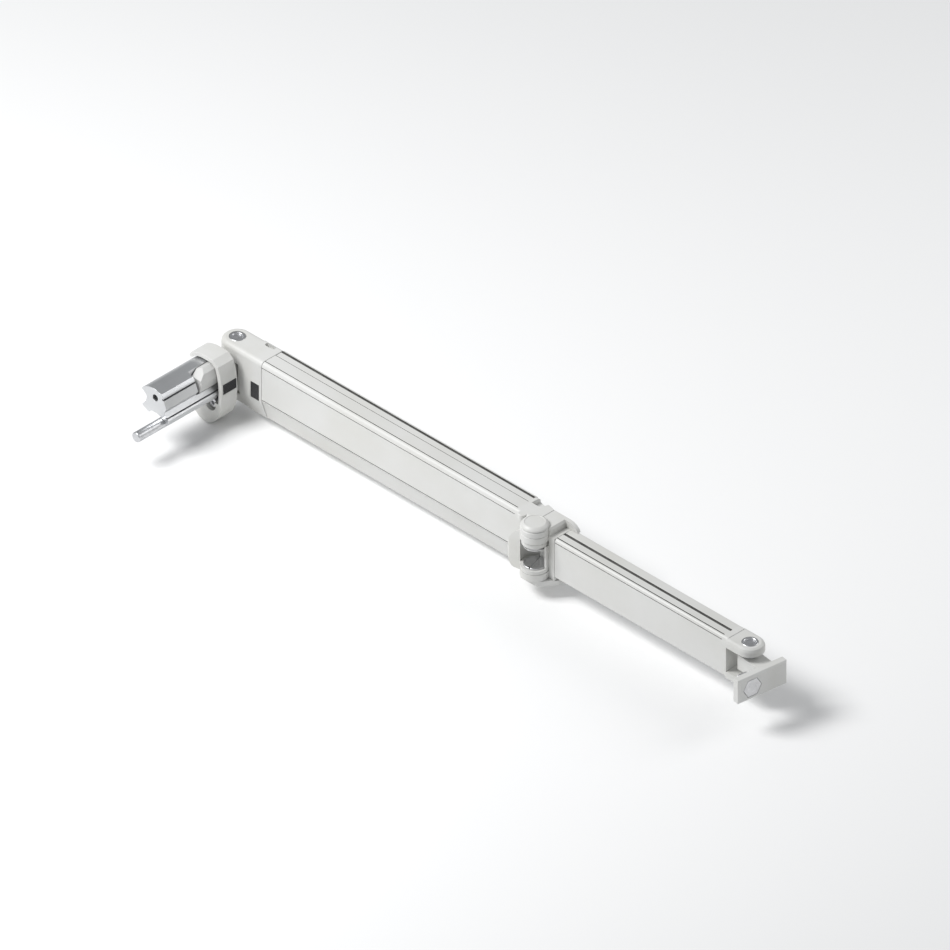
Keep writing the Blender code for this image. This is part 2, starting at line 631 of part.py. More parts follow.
def build_elbow_pins(frame):
    cap = [(0, 69.3), (14.2, 69.3), (14.4, 69.8), (13.6, 71.4), (11.6, 73.0), (10.6, 73.7), (0, 73.7)]
    piece("elbow_cap", turned(cap, 40), frame, "cast_aluminium")
    piece("elbow_pin_upper", rod(ELBOW_PIN, 45.2, 69.0, chamfer=0.5), frame, "steel")
    profile = [(0, 11.2), (ELBOW_PIN - 0.5, 11.2), (ELBOW_PIN, 11.7), (ELBOW_PIN, 23.1)]
    profile += [(11.7, 23.1), (11.7, 24.1), (11.2, 24.6), (0, 24.6)]
    pin = piece("elbow_pin_lower", turned(profile, 36), frame, "steel")
    slot = [(-12.6, 0.8), (-12.6, -0.8), (12.6, -0.8), (12.6, 0.8)]
    turn = math.radians(107)
    slot = [(x * math.cos(turn) - y * math.sin(turn), x * math.sin(turn) + y * math.cos(turn)) for x, y in slot]
    cut(pin, prism(slot, "Z", 23.7, 26))
    base = [(-11.0, -8.7), (11.3, -8.5), (24.7, 8.6), (24.7, 26.0), (-4.1, 26.0)]
    base += arc((0, 0), 14.4, 107, 215, 10)
    base_plate = piece("elbow_base_plate", prism(base, "Z", 4.8, 10.5), frame, "cast_aluminium")
    screw_at = (14.0, 15.0, 0)
    cut(base_plate, (rod(SCREW_HOLE, 4, 11, steps=16), screw_at))
    cut(base_plate, (rod(5.0, 3, 7.2, steps=20), screw_at))
    profile = [(0, 5.2), (4.6, 5.2), (4.6, 6.9), (2.5, 6.9), (2.5, 10.4), (0, 10.4)]
    piece("base_plate_screw", turned(profile, 20), frame, "steel", screw_at)


def build_cable_wrap(frame):
    """The cable's end: it leaves its ferrule in the casting and wraps round the pulley."""
    points = [(12.0 - 2.0 * step, CABLE_AT, CABLE_HEIGHT) for step in range(6)]
    points += [(x, y, CABLE_HEIGHT) for x, y in arc((0, 0), CABLE_AT, 90, 250, 16)]
    piece("cable_wrap", swept_wire(points, 0.9, 8), frame, "steel")
    piece("wrap_ferrule", rod(2.6, 12.3, 17.0, "X", steps=16), frame, "steel", (0, CABLE_AT, CABLE_HEIGHT))


def build_fore_tube(frame):
    tube = piece("forearm_tube", prism(fore_tube_section(), "X", FORE_START, FORE_END), frame,
                 "coated_aluminium")
    low = (FORE_FRONT + FORE_WALL, FORE_LOW + FORE_WALL)
    high = (FORE_BACK - FORE_WALL, FORE_HIGH - 3.3)
    cut(tube, prism(rounded_box(low, high, 2.0), "X", FORE_START - 1, FORE_END + 1))
    for place in (34, 240):
        cut(tube, (rod(SCREW_HOLE, 28, 33, "Y", steps=16), (place, 0, 36)))


def build_fore_screws(frame, fork, front):
    """A screw through the tube's back into each casting. The front casting's pin bore is cut after its hole."""
    for number, place in enumerate((34, 240)):
        casting = fork if number == 0 else front
        shift = (0, 0, 0) if number == 0 else (-FRONT[0], -FRONT[1], 0)
        hole = rod(SCREW_HOLE, 20, 30, "Y", steps=16)
        cut(casting, (hole, (place + shift[0], shift[1], 36)))
        profile = [(0, 20.6), (2.5, 20.6), (2.5, 31.3), (4.4, 31.3), (4.0, 32.5), (2.6, 33.1), (0, 33.1)]
        screw = piece(f"forearm_screw_{number + 1}", turned(profile, 12, "Y"), frame, "steel", (place, 0, 36))
        cut(screw, prism(arc((0, 0), 1.6, 0, 300, 5), "Y", 31.9, 34))
    cut(front, stepped_bore(FRONT_PIN + GAP, 0, 8.6, FORE_HIGH - 2.2, 70))


def build_front_fork(frame):
    """The forearm's front casting: a collar on the tube and two lugs for the front pin."""
    top, low = FORE_HIGH, FORE_LOW
    slot_low, slot_high = 22.8, 51.4
    rim = [(FRONT_LUG - 1.0, low), (FRONT_LUG, low + 1.0), (FRONT_LUG, top - 3.6)]
    rim += [(FRONT_LUG - 1.2, top - 1.2), (FRONT_LUG - 3.6, top)]
    fork = piece("front_fork", lug_block(rim, -20.0, 18), frame, "cast_aluminium", (FRONT[0], FRONT[1], 0))
    join(fork, prism(fore_section(0.5, FRONT[1]), "X", -26.0, -19.0))
    inset = FORE_WALL + GAP
    plug_low = (FORE_FRONT + inset - FRONT[1], FORE_LOW + inset)
    plug_high = (FORE_BACK - inset - FRONT[1], FORE_HIGH - 3.6)
    join(fork, prism(rounded_box(plug_low, plug_high, 2.0), "X", -50, -25.5))
    cut(fork, box((-18.6, -20, slot_low), (20, 20, slot_high)))
    return fork


def build_front_pin(frame):
    at = (FRONT[0], FRONT[1], 0)
    profile = [(0, 10.6), (4.5, 10.6), (FRONT_PIN, 11.1), (FRONT_PIN, 12.0), (4.2, 12.0), (4.2, 13.4)]
    profile += [(FRONT_PIN, 13.4), (FRONT_PIN, 58.6), (8.3, 58.6), (8.3, 60.3), (8.0, 60.6), (6.2, 60.6)]
    profile += [(5.8, 59.9), (0, 59.9)]
    piece("front_pin", turned(profile, 32), frame, "steel", at)
    clip = piece("front_pin_clip", ring(4.5, 7.4, 12.2, 13.2), frame, "spring_steel", at)
    cut(clip, box((-9, -1.8, 10), (0, 1.8, 15)))


# Front connector

def build_connector(frame):
    """The plate that slides in the front rail, with the tongue that the front pin passes through."""
    low, high = PLATE_SIDES
    chamfer = 1.8
    section = [(PLATE_NEAR, PLATE_LOW), (PLATE_FAR - chamfer, PLATE_LOW), (PLATE_FAR, PLATE_LOW + chamfer)]
    section += [(PLATE_FAR, PLATE_HIGH - chamfer), (PLATE_FAR - chamfer, PLATE_HIGH), (PLATE_NEAR, PLATE_HIGH)]
    plate = piece("rail_plate", prism(section, "Y", low, high), frame, "cast_aluminium")
    tongue = arc((0, 0), TONGUE_BACK, 123, 237, 12)
    tongue += [(0, -TONGUE_HALF), (PLATE_NEAR + 1, -TONGUE_HALF), (PLATE_NEAR + 1, TONGUE_HALF), (0, TONGUE_HALF)]
    join(plate, prism(tongue, "Z", *TONGUE))
    slant = 3.0
    for side, inward in ((low, 1), (high, -1)):
        corner = [(PLATE_FAR + 1, side - inward), (PLATE_FAR - slant, side - inward)]
        corner.append((PLATE_FAR + 1, side + inward * slant))
        cut(plate, prism(corner, "Z", PLATE_LOW - 1, PLATE_HIGH + 1))
    cut(plate, rod(7.3, 24, 51))
    hexagon = arc((0, 0), HEX + GAP + 0.1, 0, 300, 5)
    cut(plate, (prism(hexagon, "X", PLATE_FAR - 5.2, PLATE_FAR + 1), BOLT_AT))
    cut(plate, (rod(BOLT_HOLE, PLATE_NEAR - 1, PLATE_FAR, "X", steps=20), BOLT_AT))


def build_bolt(frame):
    """The hexagon bolt sunk in the plate, with its nut and washer behind it."""
    bolt = piece("rail_bolt", prism(arc((0, 0), HEX, 0, 300, 5), "X", PLATE_FAR - 4.9, PLATE_FAR), frame,
                 "steel", BOLT_AT)
    join(bolt, rod(5.0, 15.6, PLATE_FAR - 4.0, "X", chamfer=0.5, steps=20))
    nut_shape = prism(arc((0, 0), 9.2, 0, 300, 5), "X", 19.6, 25.4)
    nut = piece("rail_nut", nut_shape, frame, "steel", BOLT_AT)
    cut(nut, rod(BOLT_HOLE, 19, 26, "X", steps=20))
    piece("rail_washer", ring(BOLT_HOLE, 10.0, 25.7, 27.3, "X", 24), frame, "steel", BOLT_AT)


def build_front_bearing(frame):
    """The bush in the tongue's bore and a thick washer above and below the tongue."""
    low, high = TONGUE
    inner, spacer = FRONT_PIN + GAP, 8.4
    piece("front_bush", ring(inner, 7.0, low + GAP, high - GAP), frame, "black_plastic")
    piece("front_washer_lower", ring(inner, spacer, 23.1, low - GAP), frame, "steel")
    piece("front_washer_upper", ring(inner, spacer, high + GAP, 51.1), frame, "steel")


def build_all():
    clear_scene()
    bracket = axis_empty("bracket_frame", SHOULDER)
    upper = axis_empty("shoulder_axis", SHOULDER)
    fore = axis_empty("elbow_axis", ELBOW, upper)
    front = axis_empty("front_axis", FRONT, fore, FRONT_TURN)
    build_bar(bracket)
    build_rod(bracket)
    build_collar(bracket)
    build_wedge(bracket)
    build_yoke(bracket)
    build_bushes(bracket)
    build_shoulder_fork(upper)
    build_shoulder_pin(upper)
    build_upper_tube(upper)
    build_upper_screws(upper)
    build_spring(upper)
    build_elbow_housing(upper)
    build_pulley(upper)
    build_carriage(upper)
    build_elbow_fork(fore)
    build_elbow_pins(fore)
    build_cable_wrap(fore)
    build_fore_tube(fore)
    fork = bpy.data.objects["elbow_fork"]
    build_fore_screws(fore, fork, build_front_fork(fore))
    build_front_pin(fore)
    build_connector(front)
    build_bolt(front)
    build_front_bearing(front)


build_all()
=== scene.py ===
"""A spring-loaded two-link folding arm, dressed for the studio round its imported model."""

import math
import bmesh
import bpy
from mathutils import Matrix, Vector


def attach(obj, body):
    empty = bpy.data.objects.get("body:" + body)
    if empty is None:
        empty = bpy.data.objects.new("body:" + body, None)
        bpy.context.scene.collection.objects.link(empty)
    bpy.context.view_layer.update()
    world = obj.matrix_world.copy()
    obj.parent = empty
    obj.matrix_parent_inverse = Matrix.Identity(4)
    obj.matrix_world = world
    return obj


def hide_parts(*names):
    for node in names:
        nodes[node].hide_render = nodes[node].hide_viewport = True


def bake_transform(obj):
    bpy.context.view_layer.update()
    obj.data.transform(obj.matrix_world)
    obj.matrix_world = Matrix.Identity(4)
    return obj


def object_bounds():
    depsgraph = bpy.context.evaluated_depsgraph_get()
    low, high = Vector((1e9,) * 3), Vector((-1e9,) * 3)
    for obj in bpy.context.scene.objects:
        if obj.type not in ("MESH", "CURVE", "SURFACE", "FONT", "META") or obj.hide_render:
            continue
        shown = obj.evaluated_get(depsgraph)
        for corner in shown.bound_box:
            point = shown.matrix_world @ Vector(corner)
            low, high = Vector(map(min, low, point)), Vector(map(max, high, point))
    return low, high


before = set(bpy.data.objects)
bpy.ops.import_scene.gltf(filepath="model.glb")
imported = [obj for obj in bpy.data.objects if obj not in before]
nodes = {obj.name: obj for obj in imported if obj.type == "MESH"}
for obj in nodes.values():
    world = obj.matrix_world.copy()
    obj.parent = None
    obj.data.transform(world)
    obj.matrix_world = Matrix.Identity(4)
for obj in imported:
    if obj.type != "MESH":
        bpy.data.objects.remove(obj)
cad_low, cad_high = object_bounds()

# Studio camera.
# It looks down on the arm along the cube's diagonal with parallel rays, so all three axes keep one scale.
VIEW_WIDTH = 0.9308
looked_at = Vector((0.2973, 0.1457, -0.0070))
from_object = Vector((1, -1, 1)).normalized()
camera = bpy.data.objects.new("studio_camera", bpy.data.cameras.new("studio_camera"))
camera.data.type = "ORTHO"
camera.data.ortho_scale = VIEW_WIDTH
camera.data.clip_end = 20
camera.location = looked_at + from_object * 2.5
camera.rotation_mode = "QUATERNION"
camera.rotation_quaternion = (-from_object).to_track_quat("-Z", "Y")
bpy.context.collection.objects.link(camera)
bpy.context.scene.camera = camera

# Studio floor.
# A plain pale sheet just under the arm, wide enough to pass out of every view.
FLOOR_REACH = 8.0
FLOOR_DROP = 0.0015
floor_height = cad_low.z - FLOOR_DROP
floor_corners = []
for side_x, side_y in ((-1, -1), (1, -1), (1, 1), (-1, 1)):
    floor_corners.append((side_x * FLOOR_REACH, side_y * FLOOR_REACH, floor_height))
floor_mesh = bpy.data.meshes.new("floor")
floor_mesh.from_pydata(floor_corners, [], [(0, 1, 2, 3)])
floor = bpy.data.objects.new("floor", floor_mesh)
bpy.context.collection.objects.link(floor)
floor_paint = bpy.data.materials.new("floor_paint")
floor_paint.use_nodes = True
floor_shader = floor_paint.node_tree.nodes["Principled BSDF"]
floor_shader.inputs["Base Color"].default_value = (0.93, 0.93, 0.93, 1)
floor_shader.inputs["Roughness"].default_value = 0.9
floor_mesh.materials.append(floor_paint)

# Studio light.
# One large soft lamp from the upper left, a weak one from behind and a pale surround.
lamps = (("key_lamp", (-0.5, -1.0, 1.7), 0.9, 44), ("rim_lamp", (1.3, 1.7, 1.1), 1.0, 9))
for name, spot, size, power in lamps:
    lamp = bpy.data.objects.new(name, bpy.data.lights.new(name, "AREA"))
    lamp.data.size = size
    lamp.data.energy = power
    lamp.location = spot
    lamp.rotation_euler = (looked_at - Vector(spot)).to_track_quat("-Z", "Y").to_euler()
    bpy.context.collection.objects.link(lamp)
surround = bpy.data.worlds.new("surround")
bpy.context.scene.world = surround
surround.use_nodes = True
background = surround.node_tree.nodes["Background"]
background.inputs["Color"].default_value = (0.96, 0.98, 1.0, 1)
background.inputs["Strength"].default_value = 0.36
bpy.context.scene.view_settings.view_transform = "Standard"

# Mounting bar.
# A stub of extruded aluminium, anodised, with the fine lines that the die leaves along it. Its ends are sawn.
# Two fine grooves run along it, with painted shade on their inner faces.
SHOULDER = (0.0, 114.0, -42.0)
MM = 0.001
SAME_SPOT = 0.002 * MM
FLAT_ANGLE = math.radians(0.6)


def start_finish(name, colour, roughness, metallic):
    """A new material, with its node tree and shader."""
    material = bpy.data.materials.new(name)
    material.use_nodes = True
    shader = material.node_tree.nodes["Principled BSDF"]
    shader.inputs["Base Color"].default_value = (*colour, 1)
    shader.inputs["Roughness"].default_value = roughness
    shader.inputs["Metallic"].default_value = metallic
    return material, material.node_tree, shader


def noise(tree, scale, detail=4.0, stretch=(1, 1, 1)):
    """Noise over the piece itself, drawn out along an axis where that is wanted."""
    place = tree.nodes.new("ShaderNodeTexCoord")
    mapping = tree.nodes.new("ShaderNodeMapping")
    mapping.inputs["Scale"].default_value = stretch
    texture = tree.nodes.new("ShaderNodeTexNoise")
    texture.inputs["Scale"].default_value = scale
    texture.inputs["Detail"].default_value = detail
    tree.links.new(place.outputs["Object"], mapping.inputs["Vector"])
    tree.links.new(mapping.outputs["Vector"], texture.inputs["Vector"])
    return texture.outputs["Fac"]


def calculate(tree, operation, first, second, third=None):
    """A sum of two or three numbers or sources."""
    node = tree.nodes.new("ShaderNodeMath")
    node.operation = operation
    for socket, value in zip(node.inputs, (first, second, third)):
        if value is None:
            continue
        if isinstance(value, (int, float)):
            socket.default_value = value
        else:
            tree.links.new(value, socket)
    return node.outputs[0]


def spread(tree, source, low, high, start=0.3, end=0.7):
    """Turns a 0 to 1 source into a range between two greys or two colours."""
    band = tree.nodes.new("ShaderNodeValToRGB")
    for element, value, place in zip(band.color_ramp.elements, (low, high), (start, end)):
        element.position = place
        element.color = (*value, 1) if isinstance(value, tuple) else (value, value, value, 1)
    tree.links.new(source, band.inputs["Fac"])
    return band.outputs["Color"]


def relief(tree, shader, source, strength, distance):
    """Raises the surface by a source, in metres."""
    bump = tree.nodes.new("ShaderNodeBump")
    bump.inputs["Strength"].default_value = strength
    bump.inputs["Distance"].default_value = distance
    tree.links.new(source, bump.inputs["Height"])
    tree.links.new(bump.outputs["Normal"], shader.inputs["Normal"])


def drawn_aluminium(name, stretch, colour=(0.72, 0.73, 0.74)):
    """Anodised aluminium: fine die lines, faint cloudiness and an even satin."""
    material, tree, shader = start_finish(name, colour, 0.4, 1.0)
    lines = noise(tree, 260, 3, stretch)
    cloud = noise(tree, 14, 5)
    darker = tuple(0.84 * part for part in colour)
    tree.links.new(spread(tree, cloud, darker, colour), shader.inputs["Base Color"])
    tree.links.new(spread(tree, lines, 0.32, 0.5), shader.inputs["Roughness"])
    relief(tree, shader, lines, 0.4, 0.00006)
    return material


def cleaned_copy(node):
    """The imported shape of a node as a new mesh, with its flat faces made whole again."""
    mesh = nodes[node].data.copy()
    shape = bmesh.new()
    shape.from_mesh(mesh)
    bmesh.ops.remove_doubles(shape, verts=shape.verts, dist=SAME_SPOT)
    bmesh.ops.dissolve_limit(shape, angle_limit=FLAT_ANGLE, verts=shape.verts, edges=shape.edges)
    shape.to_mesh(mesh)
    shape.free()
    return mesh


def show(name, mesh, body, material, replaced=(), at=(0, 0, 0), turn=0.0):
    """One visible piece: its mesh, finish, body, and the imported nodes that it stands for.
    A piece that stretches between two bodies is given no body here."""
    made = bpy.data.objects.new(name, mesh)
    mesh.name = name
    mesh.materials.clear()
    mesh.materials.append(material)
    made.location = Vector(at) * MM
    made.rotation_euler = (0, 0, math.radians(turn))
    bpy.context.collection.objects.link(made)
    if body:
        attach(made, body)
    if replaced:
        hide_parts(*replaced)
    return made


def ease_edges(made, width, segments=3, angle=28):
    """Breaks the sharp edges of a machined or cast piece."""
    made.data.shade_smooth()
    eased = made.modifiers.new("eased_edges", "BEVEL")
    eased.width = width * MM
    eased.segments = segments
    eased.limit_method = "ANGLE"
    eased.angle_limit = math.radians(angle)
    normals = made.modifiers.new("flat_faces", "WEIGHTED_NORMAL")
    normals.keep_sharp = False
    normals.weight = 80
    return made


def eased_node(node, body, material, width, segments=3, angle=28):
    """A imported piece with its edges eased."""
    shown = show(node + "_shown", cleaned_copy(node), body, material, (node,))
    return ease_edges(shown, width, segments, angle)


# Where a spot (across, up, along) of a section lies when the section runs along each axis.
SPOT_ON = {
    "X": lambda across, up, along: (along, across, up),
    "Y": lambda across, up, along: (across, along, up),
    "Z": lambda across, up, along: (across, up, along),
}
BOX_SIDES = ((0, 1, 2, 3), (7, 6, 5, 4), (0, 4, 5, 1), (1, 5, 6, 2), (2, 6, 7, 3), (3, 7, 4, 0))


def groove_cutter(lines, axis, origin, reach):
    """A bar for each groove, from (across, up) to (across, up), running from one reach to the other."""
    shape = bmesh.new()
    for low, high in lines:
        corners = []
        for along in reach:
            for across, up in (low, (high[0], low[1]), high, (low[0], high[1])):
                spot = Vector(SPOT_ON[axis](across, up, along)) + Vector(origin)
                corners.append(shape.verts.new(spot * MM))
        for side in BOX_SIDES:
            shape.faces.new([corners[corner] for corner in side])
    bmesh.ops.recalc_face_normals(shape, faces=shape.faces)
    mesh = bpy.data.meshes.new("cutter")
    shape.to_mesh(mesh)
    shape.free()
    return mesh


def lined_copy(node, lines, axis, origin, reach):
    """A packed extrusion as a new mesh, with fine grooves cut along it."""
    solid = bpy.data.objects.new("extrusion", cleaned_copy(node))
    cutter = bpy.data.objects.new("cutter", groove_cutter(lines, axis, origin, reach))
    for helper in (solid, cutter):
        bpy.context.collection.objects.link(helper)
    cut = solid.modifiers.new("lines", "BOOLEAN")
    cut.operation = "DIFFERENCE"
    cut.solver = "EXACT"
    cut.object = cutter
    bpy.context.view_layer.update()
    mesh = bpy.data.meshes.new_from_object(solid.evaluated_get(bpy.context.evaluated_depsgraph_get()))
    for helper in (solid, cutter):
        spent = helper.data
        bpy.data.objects.remove(helper, do_unlink=True)
        bpy.data.meshes.remove(spent)
    return mesh


def shade_grooves(made, lines, axis, origin, dirt_and_shade):
    """Paints shade on the inside of the grooves: their faces take a second, dark material."""
    made.data.materials.append(dirt_and_shade)
    slack = 0.02
    order = SPOT_ON[axis]("across", "up", "along")
    for face in made.data.polygons:
        middle = face.center / MM - Vector(origin)
        across, up = middle[order.index("across")], middle[order.index("up")]
        for low, high in lines:
            beside = low[0] - slack < across < high[0] + slack
            if beside and low[1] - slack < up < high[1] + slack:
                face.material_index = 1


def painted_groove_shade(name, colour):
    """Painted shade for the inside of a groove: dark, rough and patchy."""
    material, tree, shader = start_finish(name, colour, 0.8, 0.0)
    # The painted shade turns paler in random patches.
    paler_shade = tuple(1.8 * part for part in colour)
    tree.links.new(spread(tree, noise(tree, 90, 6), colour, paler_shade, 0.4, 0.75), shader.inputs["Base Color"])
    grit = noise(tree, 2200, 3)
    tree.links.new(spread(tree, grit, 0.7, 0.9), shader.inputs["Roughness"])
    relief(tree, shader, grit, 0.3, 0.00005)
    return material


bar_metal = drawn_aluminium("bar_metal", (40, 1, 40))
# Painted shade for the insides of the bar's grooves.
bar_groove_shade = painted_groove_shade("bar_groove_shade", (0.11, 0.11, 0.115))
bar_lines = [((9.6, 53.4), (14.0, 55.0)), ((14.4, 34.0), (19.0, 35.0))]
bar_mesh = lined_copy("mounting_bar", bar_lines, "Y", SHOULDER, (-120, -20))
bar = show("mounting_bar_shown", bar_mesh, "bracket", bar_metal, ("mounting_bar",))
# Painted shade: the faces inside the grooves take the dark material.
shade_grooves(bar, bar_lines, "Y", SHOULDER, bar_groove_shade)
ease_edges(bar, 0.2)

# Pitch rod.
# A drawn and zinc-plated steel rod that the bracket turns on when its pitch is set. Its ends are chamfered.


def corner_distance(angle, corners):
    """How far a regular outline's edge is from its middle at an angle, for a corner distance of one."""
    if corners == 0:
        return 1.0
    part = 2 * math.pi / corners
    return math.cos(part / 2) / math.cos(angle % part - part / 2)


def lathe(profile, steps=72, axis="Z", centre=(0, 0, 0)):
    """A turned piece. Each ring is (radius, place along the axis, corners), with no corners for a circle."""
    shape = bmesh.new()
    rings = []
    for radius, along, *corners in profile:
        ring = []
        for step in range(steps):
            angle = 2 * math.pi * step / steps
            far = radius * corner_distance(angle, corners[0] if corners else 0)
            spot = SPOT_ON[axis](far * math.cos(angle), far * math.sin(angle), along)
            ring.append(shape.verts.new((Vector(spot) + Vector(centre)) * MM))
        rings.append(ring)
    for near, far in zip(rings, rings[1:]):
        for step in range(steps):
            after = (step + 1) % steps
            shape.faces.new((near[step], near[after], far[after], far[step]))
    shape.faces.new(list(reversed(rings[0])))
    shape.faces.new(rings[-1])
    bmesh.ops.recalc_face_normals(shape, faces=shape.faces)
    mesh = bpy.data.meshes.new("turned")
    shape.to_mesh(mesh)
    shape.free()
    return mesh


def rings_about(tree, axis, centre):
    """Fine turning marks: noise by the distance from an axis."""
    place = tree.nodes.new("ShaderNodeTexCoord")
    moved = tree.nodes.new("ShaderNodeVectorMath")
    moved.operation = "SUBTRACT"
    moved.inputs[1].default_value = Vector(centre) * MM
    flat = tree.nodes.new("ShaderNodeVectorMath")
    flat.operation = "MULTIPLY"
    flat.inputs[1].default_value = {"X": (0, 1, 1), "Y": (1, 0, 1), "Z": (1, 1, 0)}[axis]
    far = tree.nodes.new("ShaderNodeVectorMath")
    far.operation = "LENGTH"
    texture = tree.nodes.new("ShaderNodeTexNoise")
    texture.noise_dimensions = "1D"
    texture.inputs["Scale"].default_value = 2600
    texture.inputs["Detail"].default_value = 3
    tree.links.new(place.outputs["Object"], moved.inputs[0])
    tree.links.new(moved.outputs[0], flat.inputs[0])
    tree.links.new(flat.outputs[0], far.inputs[0])
    tree.links.new(far.outputs["Value"], texture.inputs["W"])
    return texture.outputs["Fac"]


def plated_steel(name, axis=None, centre=(0, 0, 0), colour=(0.66, 0.665, 0.68)):
    """Zinc plate: a cloudy crystal pattern over tool marks, in rings about an axis or in lines along it."""
    material, tree, shader = start_finish(name, colour, 0.34, 1.0)
    cloud = noise(tree, 120, 6)
    darker = tuple(0.82 * part for part in colour)
    tree.links.new(spread(tree, cloud, darker, colour, 0.35, 0.65), shader.inputs["Base Color"])
    if axis is None:
        marks = noise(tree, 900, 2, (1, 0.03, 1))
    else:
        marks = rings_about(tree, axis, centre)
    tree.links.new(spread(tree, marks, 0.27, 0.44), shader.inputs["Roughness"])
    relief(tree, shader, marks, 0.3, 0.00003)
    return material


rod_steel = plated_steel("rod_steel")
rod_at = (8.3, 0, 25.8)
rod_profile = [(4.7, -149.5), (5.5, -148.7), (5.5, -25.4), (4.7, -24.6)]
rod_mesh = lathe(rod_profile, axis="Y", centre=rod_at)
rod_shown = show("pitch_rod_shown", rod_mesh, "bracket", rod_steel, ("pitch_rod",), SHOULDER)
ease_edges(rod_shown, 0.12, 2)

# Shoulder collar and its wedge.
# Die castings of aluminium in a white powder coat. The wedge draws the collar tight on the bar.


def powder_coat(name, colour=(0.66, 0.66, 0.645), grain=1400, strength=0.3, cast=False):
    """White powder coat: orange peel, a faint warm soiling in patches and a soft sheen.
    On a casting the peel lies over the slightly uneven skin of the mould."""
    material, tree, shader = start_finish(name, colour, 0.42, 0.0)
    shader.inputs["Coat Weight"].default_value = 0.1
    shader.inputs["Coat Roughness"].default_value = 0.3
    shader.inputs["IOR"].default_value = 1.5
    dirt_and_shade = tuple(part * shade for part, shade in zip(colour, (0.92, 0.915, 0.89)))
    patches = noise(tree, 26 if cast else 9, 6)
    tree.links.new(spread(tree, patches, dirt_and_shade, colour, 0.28, 0.58), shader.inputs["Base Color"])
    peel = noise(tree, grain, 2)
    tree.links.new(spread(tree, peel, 0.36, 0.5), shader.inputs["Roughness"])
    if cast:
        peel = calculate(tree, "MULTIPLY_ADD", noise(tree, 180, 3), 1.6, peel)
    relief(tree, shader, peel, strength, 0.00012)
    return material


casting_coat = powder_coat("casting_coat", cast=True)
wedge_coat = powder_coat("wedge_coat", (0.60, 0.60, 0.59), cast=True)
eased_node("shoulder_collar", "bracket", casting_coat, 0.5, 3, 20)
eased_node("clamp_wedge", "bracket", wedge_coat, 0.4)

# Collar inlay.
# A moulded nylon grip pad, ribbed along its length, pressed into a recess of the collar.


def dark_nylon(name, colour=(0.026, 0.026, 0.028)):
    """Moulded nylon: a fine spark texture and a dull sheen."""
    material, tree, shader = start_finish(name, colour, 0.55, 0.0)
    grain = noise(tree, 2600, 2)
    lighter = tuple(1.7 * part for part in colour)
    tree.links.new(spread(tree, noise(tree, 60, 4), colour, lighter, 0.3, 0.8), shader.inputs["Base Color"])
    tree.links.new(spread(tree, grain, 0.45, 0.65), shader.inputs["Roughness"])
    relief(tree, shader, grain, 0.3, 0.00006)
    return material


# The outline of one rib: the part of its pitch, and the part of the pad's thickness.
RIB = ((0.0, 0.45), (0.12, 0.62), (0.25, 0.94), (0.4, 1.0), (0.6, 1.0), (0.75, 0.94), (0.88, 0.62))


def ribbed_pad(low, high, outward, rib_axis, ribs):
    """A thin block whose outward face carries round ribs side by side along one of its edges."""
    axis, side = outward
    thin = abs(high[axis] - low[axis])
    across = ({0, 1, 2} - {axis, rib_axis}).pop()
    outline = [(low[across], 0.0)]
    pitch = (high[across] - low[across]) / ribs
    for rib in range(ribs):
        start = low[across] + rib * pitch
        for part, rise in RIB:
            outline.append((start + part * pitch, rise * thin))
    outline += [(high[across], RIB[0][1] * thin), (high[across], 0.0)]
    base = low[axis] if side > 0 else high[axis]
    shape = bmesh.new()
    ends = []
    for place in (low[rib_axis], high[rib_axis]):
        ring = []
        for along, rise in outline:
            spot = [0.0, 0.0, 0.0]
            spot[axis] = base + side * rise
            spot[across] = along
            spot[rib_axis] = place
            ring.append(shape.verts.new(Vector(spot) * MM))
        ends.append(ring)
    for step in range(len(outline)):
        after = (step + 1) % len(outline)
        shape.faces.new((ends[0][step], ends[0][after], ends[1][after], ends[1][step]))
    shape.faces.new(ends[0])
    shape.faces.new(list(reversed(ends[1])))
    bmesh.ops.recalc_face_normals(shape, faces=shape.faces)
    mesh = bpy.data.meshes.new("pad")
    shape.to_mesh(mesh)
    shape.free()
    return mesh


nylon = dark_nylon("nylon")
collar_pad = ribbed_pad((22.9, -43.3, 31.8), (24.2, -25.7, 42.8), (0, 1), 1, 6)
show("collar_inlay_shown", collar_pad, "bracket", nylon, ("collar_inlay",), SHOULDER)

# Lobe screw and wedge screw.
# Turned and zinc-plated steel. The lobe screw is a socket cap screw; the wedge screw draws the wedge home.
lobe_hole = (8.3, 0, 14.5)
lobe_steel = plated_steel("lobe_steel", "Y", lobe_hole)
lobe_profile = [(2.6, -24.4), (2.6, -37.3), (5.2, -37.3), (5.2, -42.1), (4.8, -42.5), (2.75, -42.5, 6),
                (2.6, -42.3, 6), (2.6, -39.8, 6)]
lobe_mesh = lathe(lobe_profile, axis="Y", centre=lobe_hole)
lobe_shown = show("lobe_screw_shown", lobe_mesh, "bracket", lobe_steel, ("lobe_screw",), SHOULDER)
ease_edges(lobe_shown, 0.1, 2)
wedge_hole = (8.6, 0, 54.7)
wedge_steel = plated_steel("wedge_steel", "Y", wedge_hole)
wedge_profile = [(2.1, -46.5), (2.5, -46.1), (2.5, -23.0), (4.4, -23.0), (4.4, -19.4), (4.0, -19.0)]
wedge_mesh = lathe(wedge_profile, 48, "Y", wedge_hole)
wedge_shown = show("wedge_screw_shown", wedge_mesh, "bracket", wedge_steel, ("wedge_screw",), SHOULDER)
ease_edges(wedge_shown, 0.1, 2)

# Shoulder yoke and its bushes.
# The yoke is a coated casting bolted to the collar. Its eye carries two flanged bushes of black nylon.
eased_node("shoulder_yoke", "bracket", casting_coat, 0.5)


